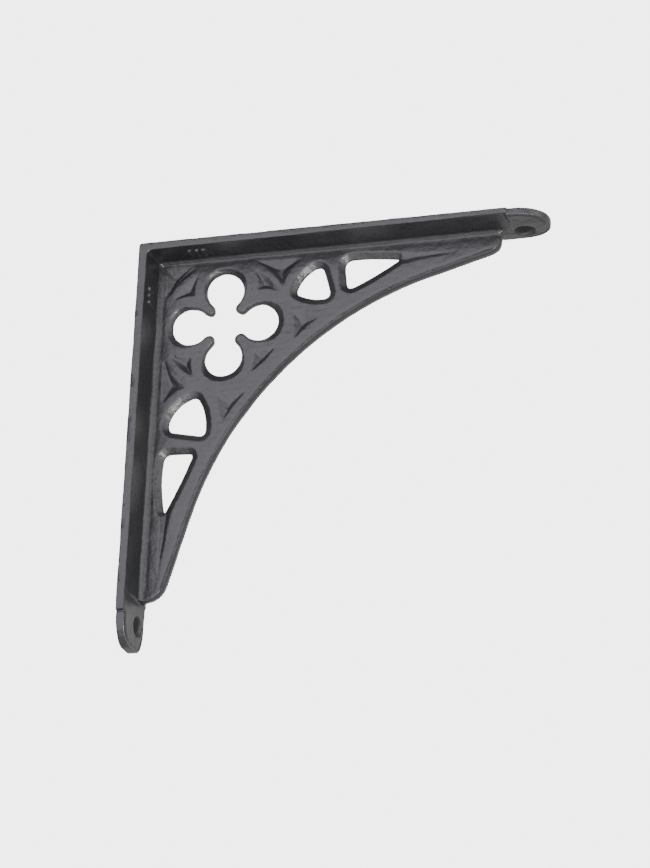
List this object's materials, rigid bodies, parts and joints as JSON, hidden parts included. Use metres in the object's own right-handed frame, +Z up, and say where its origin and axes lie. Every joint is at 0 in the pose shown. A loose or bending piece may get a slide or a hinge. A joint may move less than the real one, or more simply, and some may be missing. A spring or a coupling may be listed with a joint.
{
  "type": "cast iron shelf bracket",
  "caption": "Right-angle shelf bracket cast in one piece: a wall plate and a shelf plate with rounded screw lugs, joined by a pierced arched web with tracery openings.",
  "frame": {"origin": "on the wall face of the wall plate, half way down it, in the middle plane of the web", "axes": "+X out from the wall along the shelf arm, +Z up, -Y toward the carved front of the web"},
  "size_m": [0.15, 0.0212, 0.152],
  "materials": {
    "painted_iron": "satin black paint on a slightly uneven casting"
  },
  "bodies": {
    "root": {"bracket_casting": "painted_iron"}
  },
  "joints": []
}
